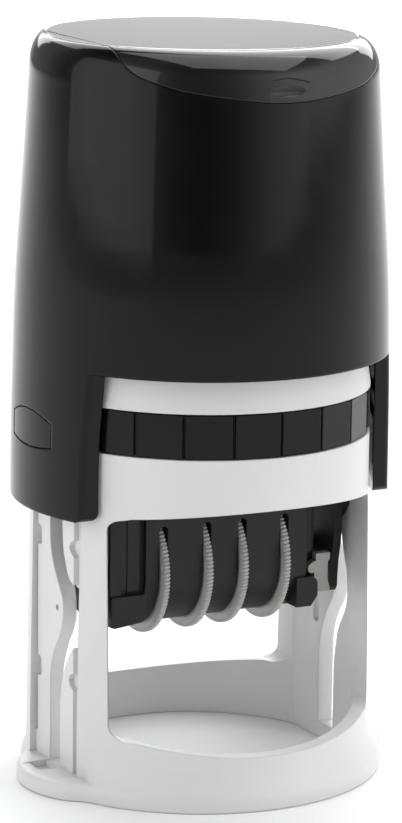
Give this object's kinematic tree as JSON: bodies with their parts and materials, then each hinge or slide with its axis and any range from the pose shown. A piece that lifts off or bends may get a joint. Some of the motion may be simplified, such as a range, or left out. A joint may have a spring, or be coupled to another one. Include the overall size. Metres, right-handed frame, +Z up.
{
  "type": "round date stamp",
  "caption": "Round self-inking date stamp: white body with windows, pressed black cap with side arms, flipping rotor with date wheels, pull-out pad cassette.",
  "frame": {"origin": "centre of the foot on the paper", "axes": "+Z up along the stamp's axis, -Y is the front where the pad cassette's grip is, +X to the right"},
  "size_m": [0.0742, 0.0694, 0.1365],
  "materials": {
    "white_body": "satin",
    "black_cap": "gloss",
    "clear_window": "clear plastic, gloss",
    "dark_card": "satin",
    "black_trim": "gloss",
    "black_inner": "satin",
    "natural_plastic": "satin",
    "wheel_white": "satin",
    "steel": "bright",
    "plate_rubber": "matt",
    "band_rubber": "matt",
    "pad_felt": "damp felt"
  },
  "bodies": {
    "frame": {"frame": "white_body", "spring_deck": "white_body", "return_spring": "steel"},
    "cap": {"cap_shell": "black_cap", "index_card": "dark_card", "carriage": "black_inner", "lock_spring_right": "steel", "lock_spring_left": "steel"},
    "index_window": {"index_window": "clear_window"},
    "lock_button_right": {"lock_button_right": "black_trim"},
    "lock_button_left": {"lock_button_left": "black_trim"},
    "pad_cassette": {"pad_cassette": "black_trim", "ink_pad": "pad_felt"},
    "rotor": {"rotor_housing": "black_inner", "wheel_cover": "black_inner", "wheel_axle": "steel", "text_plate": "plate_rubber", "date_anvil": "natural_plastic", "date_band_1": "band_rubber", "date_band_2": "band_rubber", "date_band_3": "band_rubber", "date_band_4": "band_rubber", "click_leaf": "steel", "axle_clip": "natural_plastic", "trunnion_right": "natural_plastic", "trunnion_left": "natural_plastic"},
    "date_wheel_1": {"date_wheel_1": "wheel_white"},
    "date_wheel_2": {"date_wheel_2": "wheel_white"},
    "date_wheel_3": {"date_wheel_3": "wheel_white"},
    "date_wheel_4": {"date_wheel_4": "wheel_white"}
  },
  "joints": [
    {"name": "cap_press", "type": "slide", "parent": "frame", "child": "cap", "axis": [0, 0, -1], "range_m": [0, 0.038], "stiffness_N_per_m": 150, "springref_m": -0.03, "deforming": ["return_spring"]},
    {"name": "rotor_flip", "type": "hinge", "parent": "cap", "child": "rotor", "pos_m": [0, 0, 0.0533], "axis": [1, 0, 0], "range_deg": [0, 180]},
    {"name": "cassette_slide", "type": "slide", "parent": "frame", "child": "pad_cassette", "axis": [0, 1, 0], "range_m": [-0.055, 0]},
    {"name": "window_lift", "type": "slide", "parent": "cap", "child": "index_window", "axis": [0, 0, 1], "range_m": [0, 0.012]},
    {"name": "lock_press_right", "type": "slide", "parent": "cap", "child": "lock_button_right", "axis": [-1, 0, 0], "range_m": [0, 0.0008], "stiffness_N_per_m": 1200, "springref_m": -0.0006},
    {"name": "lock_press_left", "type": "slide", "parent": "cap", "child": "lock_button_left", "axis": [1, 0, 0], "range_m": [0, 0.0008], "stiffness_N_per_m": 1200, "springref_m": -0.0006},
    {"name": "date_wheel_1_turn", "type": "hinge", "parent": "rotor", "child": "date_wheel_1", "pos_m": [0, 0, 0.0388], "axis": [1, 0, 0], "continuous": true},
    {"name": "date_wheel_2_turn", "type": "hinge", "parent": "rotor", "child": "date_wheel_2", "pos_m": [0, 0, 0.0388], "axis": [1, 0, 0], "continuous": true},
    {"name": "date_wheel_3_turn", "type": "hinge", "parent": "rotor", "child": "date_wheel_3", "pos_m": [0, 0, 0.0388], "axis": [1, 0, 0], "continuous": true},
    {"name": "date_wheel_4_turn", "type": "hinge", "parent": "rotor", "child": "date_wheel_4", "pos_m": [0, 0, 0.0388], "axis": [1, 0, 0], "continuous": true}
  ],
  "couplings": [
    {"joint": "rotor_flip", "follows": "cap_press", "rad_per_m": 82.673}
  ]
}
